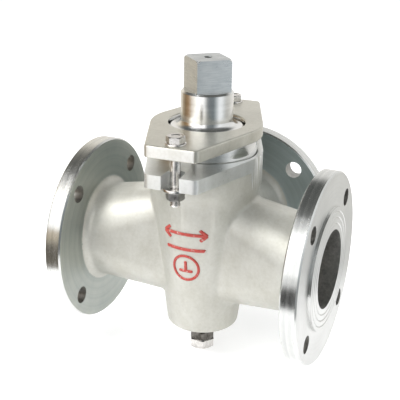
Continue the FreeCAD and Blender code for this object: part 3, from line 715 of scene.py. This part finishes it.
def add_stage(name, mesh, material):
    """A piece of the studio, which isn't part of the valve."""
    item = bpy.data.objects.new(name, mesh)
    mesh.materials.append(material)
    bpy.context.scene.collection.objects.link(item)
    return item


def make_floor():
    """A wide, pale, matt floor."""
    n = Nodes("floor_pale")
    cloud = n.noise(n.place(), 3.0, 3.0)
    tone = n.mix(cloud, (0.60, 0.60, 0.60), (0.64, 0.64, 0.64))
    material = n.finish(Base__Color=tone, Roughness=0.8)
    n.shader.inputs["Emission Color"].default_value = (1.0, 1.0, 1.0, 1.0)
    n.shader.inputs["Emission Strength"].default_value = FLOOR_GLOW
    mesh = bpy.data.meshes.new("floor")
    far = 9.0
    corners = [(-far, -far), (far, -far), (far, far), (-far, far)]
    mesh.from_pydata([(x, y, FLOOR_Z) for x, y in corners], [], [(0, 1, 2, 3)])
    add_stage("floor", mesh, material)


def blend(marks, value):
    """The tone at a value, between the marks on its two sides."""
    if value <= marks[0][0]:
        return marks[0][1]
    for (low, under), (high, over) in zip(marks, marks[1:]):
        if value <= high:
            t = (value - low) / (high - low)
            return tuple(u + (o - u) * t for u, o in zip(under, over))
    return marks[-1][1]


def tent_tone(bearing, height):
    """The tone of the tent: cloth all round, above a dark gap and below a dark ceiling."""
    lift = min(1.0, max(0.0, (height - UPPER_FROM) / UPPER_FADE))
    rise = min(1.0, max(0.0, (height - blend(GAP_TOP, bearing)[0] + 0.02) / 0.04))
    fall = min(1.0, max(0.0, (height - blend(CLOTH_TOP, bearing)[0]) / 0.13))
    cloth = [c + (u - c) * lift for c, u in zip(blend(CLOTH, bearing), blend(UPPER, bearing))]
    tone = [g + (c - g) * rise for g, c in zip(blend(GAP, bearing), cloth)]
    return tuple(t + (d - t) * fall for t, d in zip(tone, CEILING))


def make_tent():
    """The tent round the set, which only the polished steel shows."""
    count = 144
    points, tones = [], []
    for radius, height in TENT_PROFILE:
        for i in range(count):
            bearing = 360.0 * i / count - 180.0
            angle = math.radians(bearing)
            points.append((radius * math.cos(angle), radius * math.sin(angle), height))
            tones.append(tent_tone(bearing, height))
    faces = [(r + i, r + (i + 1) % count, r + count + (i + 1) % count, r + count + i)
             for r in range(0, count * (len(TENT_PROFILE) - 1), count) for i in range(count)]
    mesh = bpy.data.meshes.new("tent")
    mesh.from_pydata(points, [], faces)
    layer = mesh.color_attributes.new("tone", "FLOAT_COLOR", "POINT")
    for entry, tone in zip(layer.data, tones):
        entry.color = (*tone, 1.0)
    n = Nodes("tent_cloth")
    tone = n.add("Attribute", attribute_name="tone").outputs["Color"]
    glow = n.add("Emission", {"Color": tone, "Strength": 1.0})
    n.tree.links.new(glow.outputs[0], n.tree.nodes["Material Output"].inputs["Surface"])
    tent = add_stage("tent", mesh, n.material)
    tent.location = (AXIS.x, AXIS.y, FLOOR_Z)
    tent.rotation_euler.z = CAMERA_SIDE
    tent.visible_camera = False
    tent.visible_diffuse = False
    tent.visible_shadow = False
    tent.visible_transmission = False


def make_light(name, bearing, elevation, distance, size, power, mirrored=True):
    """A soft box at a bearing from the camera's side, aimed at the middle of the valve."""
    data = bpy.data.lights.new(name, "AREA")
    data.shape = "RECTANGLE"
    data.size, data.size_y = size
    data.energy = power
    light = bpy.data.objects.new(name, data)
    a = CAMERA_SIDE + math.radians(bearing)
    e = math.radians(elevation)
    aim = AXIS + Vector((0.0, 0.0, 0.04))
    way = Vector((math.cos(a) * math.cos(e), math.sin(a) * math.cos(e), math.sin(e)))
    light.location = aim + distance * way
    light.rotation_euler = (aim - light.location).to_track_quat("-Z", "Y").to_euler()
    light.visible_camera = False
    light.visible_glossy = mirrored
    bpy.context.scene.collection.objects.link(light)


def make_world():
    """A white backdrop that is dimmer overhead."""
    world = bpy.data.worlds.new("world")
    world.use_nodes = True
    bpy.context.scene.world = world
    tree = world.node_tree
    place = tree.nodes.new("ShaderNodeTexCoord")
    split = tree.nodes.new("ShaderNodeSeparateXYZ")
    ramp = tree.nodes.new("ShaderNodeValToRGB")
    tree.links.new(place.outputs["Generated"], split.inputs[0])
    tree.links.new(split.outputs[2], ramp.inputs[0])
    tree.links.new(ramp.outputs[0], tree.nodes["Background"].inputs["Color"])
    horizon, overhead = ramp.color_ramp.elements
    horizon.position, horizon.color = 0.10, (1.0, 1.0, 1.0, 1.0)
    overhead.position, overhead.color = 0.5, (0.42, 0.43, 0.45, 1.0)
    tree.nodes["Background"].inputs["Strength"].default_value = WORLD_STRENGTH


make_camera()
make_floor()
make_tent()
make_light("key_left", -62.0, 50.0, 1.5, (0.6, 0.6), 20.0)
make_light("fill_right", 62.0, 42.0, 1.6, (0.8, 1.0), 4.0)
make_light("back_top", 170.0, 60.0, 1.8, (1.4, 1.0), 22.0, mirrored=False)
make_world()
bpy.context.scene.view_settings.view_transform = "Standard"
